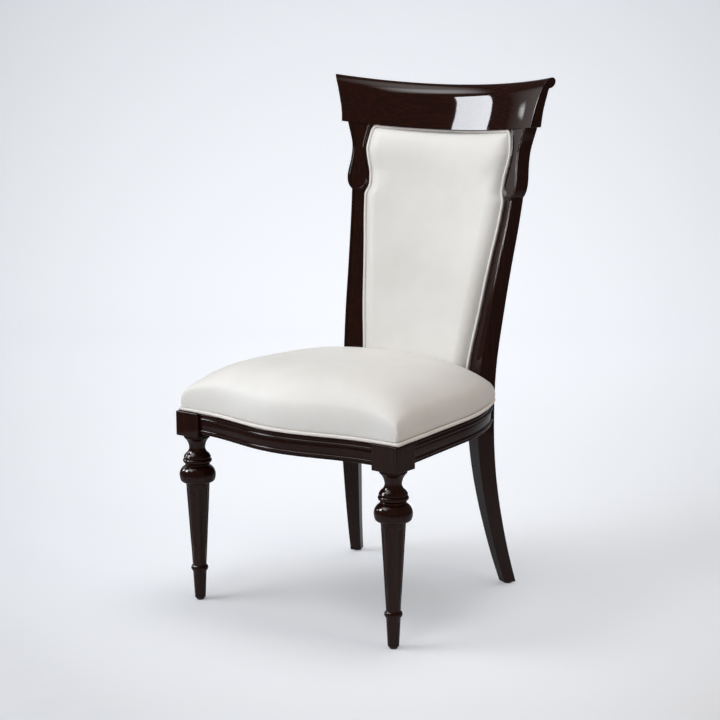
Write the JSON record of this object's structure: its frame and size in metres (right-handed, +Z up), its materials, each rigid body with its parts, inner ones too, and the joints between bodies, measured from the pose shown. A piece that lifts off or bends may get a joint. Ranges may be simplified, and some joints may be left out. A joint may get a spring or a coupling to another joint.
{
  "type": "dining side chair",
  "caption": "Armless dining chair with turned, fluted front legs, sabre rear legs, a flared and rolled concave crest rail, and an upholstered seat and back.",
  "frame": {"origin": "on the floor, midway between the chair's left and right and between its front and back extremes", "axes": "+X towards the sitter's left, +Y towards the chair's back, +Z up; the sitter faces -Y"},
  "size_m": [0.5626, 0.623, 1.0515],
  "materials": {
    "lacquer": "dark espresso stained hardwood under a high-gloss lacquer",
    "timber": "bare beech, sanded",
    "plywood": "bare birch plywood",
    "leather": "pearl off-white upholstery leather, fine grain, satin",
    "steel": "zinc-plated steel screw",
    "nylon": "dark nylon glide",
    "cambric": "black non-woven dust cover"
  },
  "bodies": {
    "root": {"crest_rail": "lacquer", "front_leg_left": "lacquer", "front_leg_right": "lacquer", "rear_leg_left": "lacquer", "rear_leg_right": "lacquer", "front_rail": "lacquer", "side_rail_left": "lacquer", "side_rail_right": "lacquer", "back_seat_rail": "lacquer", "crest_dowel_left_outer": "timber", "crest_dowel_left_inner": "timber", "crest_dowel_right_outer": "timber", "crest_dowel_right_inner": "timber", "corner_block_front_left": "timber", "corner_block_front_right": "timber", "corner_block_rear_left": "timber", "corner_block_rear_right": "timber", "leg_screw_front_left": "steel", "leg_screw_front_right": "steel", "leg_screw_rear_left": "steel", "leg_screw_rear_right": "steel", "seat_screw_front_left": "steel", "seat_screw_front_right": "steel", "seat_screw_rear_left": "steel", "seat_screw_rear_right": "steel", "glide_front_left": "nylon", "glide_front_right": "nylon", "glide_rear_left": "nylon", "glide_rear_right": "nylon", "seat_board": "plywood", "seat_cushion": "leather", "seat_piping": "leather", "back_board": "plywood", "back_pad": "leather", "back_piping": "leather", "outside_back": "leather", "dust_cover": "cambric"}
  },
  "joints": []
}
